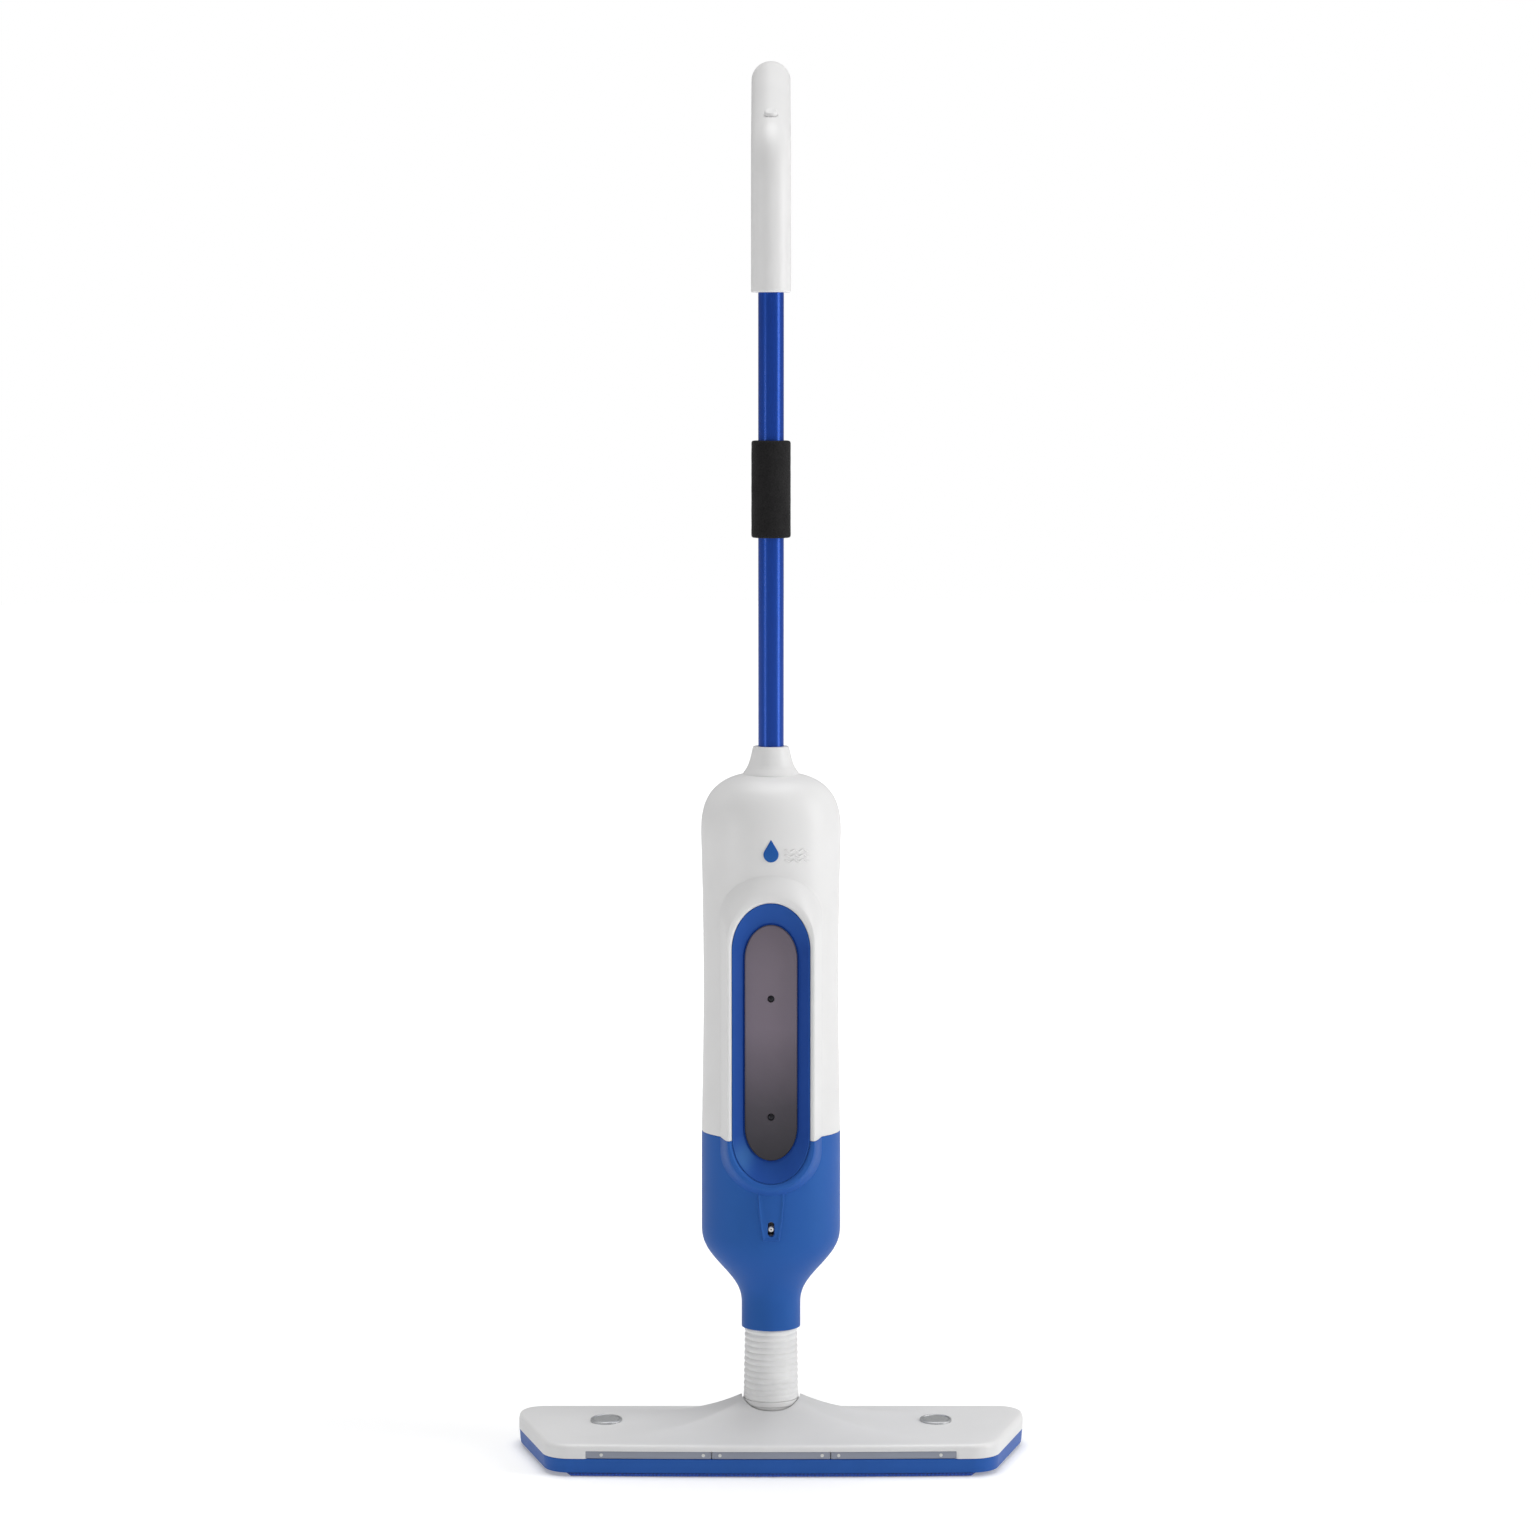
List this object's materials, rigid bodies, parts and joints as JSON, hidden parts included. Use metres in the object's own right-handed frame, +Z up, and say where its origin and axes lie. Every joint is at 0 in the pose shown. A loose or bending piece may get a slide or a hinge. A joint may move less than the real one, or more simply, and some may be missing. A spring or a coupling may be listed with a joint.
{
  "type": "spray mop",
  "caption": "Upright flat spray mop: wide swivelling head, pitching and rolling neck, water tank housing with a window, and a thumb-button pump in a bent grip.",
  "frame": {"origin": "on the floor, on the underside of the pad, under the axis of the pole", "axes": "+Z up along the pole, +Y towards the rear where the grip leans, +X to the right of a viewer who faces the nozzle"},
  "size_m": [0.444, 0.231, 1.2139],
  "materials": {
    "white_shell": "satin moulded white plastic",
    "white_inner": "satin white plastic",
    "boot_rubber": "soft corrugated white elastomer",
    "blue_shell": "satin moulded blue plastic",
    "blue_bowl": "gloss blue plastic",
    "blue_base": "satin moulded blue plastic",
    "emblem_blue": "printed gloss blue",
    "pad_fabric": "blue microfibre loop pile",
    "hook_tape": "moulded hook tape",
    "smoked_plastic": "smoked translucent plastic",
    "smoked_strip": "smoked translucent plastic",
    "clear_plastic": "translucent plastic",
    "dark_plastic": "glass-filled nylon",
    "tube_paint": "metallic blue lacquer on aluminium",
    "foam_black": "closed-cell EVA foam",
    "steel": "zinc-plated steel",
    "push_rod_metal": "drawn aluminium",
    "badge_metal": "grey metallic ring",
    "seal_rubber": "black elastomer"
  },
  "bodies": {
    "head": {"mop_pad": "pad_fabric", "hook_strips": "hook_tape", "head_base": "blue_base", "head_cover": "white_shell", "head_screws": "steel", "strip_left": "smoked_strip", "strip_middle": "smoked_strip", "strip_right": "smoked_strip", "strip_pegs": "white_inner", "head_badges": "badge_metal", "pitch_pin": "steel"},
    "knuckle": {"knuckle": "dark_plastic", "boot_ring": "white_inner", "boot": "boot_rubber", "roll_pin": "steel"},
    "housing": {"neck_yoke": "dark_plastic", "yoke_screws": "steel", "lower_shell": "blue_shell", "upper_front_shell": "white_shell", "upper_rear_shell": "white_shell", "shell_screws": "steel", "window_bowl": "blue_bowl", "window": "smoked_plastic", "window_screws": "steel", "drop_emblem": "emblem_blue", "tank": "clear_plastic", "filler_seal": "seal_rubber", "pump_bracket": "white_inner", "pump_screws": "steel", "pump_body": "white_inner", "pump_cap": "blue_shell", "pump_spring": "steel", "inlet_valve": "seal_rubber", "dip_tube": "clear_plastic", "outlet_hose": "clear_plastic", "nozzle_cover": "blue_shell", "nozzle_block": "dark_plastic", "collar": "white_shell", "lower_tube": "tube_paint", "tube_coupling": "dark_plastic", "upper_tube": "tube_paint", "foam_sleeve": "foam_black", "rod_guides": "white_inner", "grip_front_shell": "white_shell", "grip_rear_shell": "white_shell", "grip_screws": "steel", "button_guide": "white_inner", "button_spring": "steel", "lever_pin": "steel"},
    "thumb_button": {"thumb_button": "white_shell"},
    "lever": {"lever": "dark_plastic"},
    "plunger": {"push_rod": "push_rod_metal", "piston": "white_inner", "piston_seal": "seal_rubber"},
    "nozzle": {"nozzle": "white_shell"},
    "filler_cap": {"filler_cap": "blue_shell"}
  },
  "joints": [
    {"name": "neck_pitch", "type": "hinge", "parent": "head", "child": "knuckle", "pos_m": [0, 0, 0.036], "axis": [1, 0, 0], "range_deg": [-65, 0]},
    {"name": "neck_roll", "type": "hinge", "parent": "knuckle", "child": "housing", "pos_m": [0, 0, 0.075], "axis": [0, 1, 0], "range_deg": [-35, 35], "deforming": ["boot"]},
    {"name": "thumb_press", "type": "slide", "parent": "housing", "child": "thumb_button", "axis": [0, 0.4695, -0.8829], "range_m": [0, 0.004], "stiffness_N_per_m": 900, "springref_m": -0.003, "deforming": ["button_spring"]},
    {"name": "lever_swing", "type": "hinge", "parent": "housing", "child": "lever", "pos_m": [0, 0.062, 1.156], "axis": [1, 0, 0], "range_deg": [0, 7.8]},
    {"name": "pump_stroke", "type": "slide", "parent": "housing", "child": "plunger", "axis": [0, 0, -1], "range_m": [0, 0.0083], "deforming": ["pump_spring"]},
    {"name": "nozzle_tilt", "type": "hinge", "parent": "housing", "child": "nozzle", "pos_m": [0, -0.043, 0.208], "axis": [1, 0, 0], "range_deg": [-12, 12]},
    {"name": "cap_turn", "type": "hinge", "parent": "housing", "child": "filler_cap", "pos_m": [0, 0.052, 0.455], "axis": [0, 1, 0], "range_deg": [0, 90]}
  ],
  "couplings": [
    {"joint": "lever_swing", "follows": "thumb_press", "rad_per_m": 33.12},
    {"joint": "pump_stroke", "follows": "thumb_press", "ratio": 2.02}
  ]
}
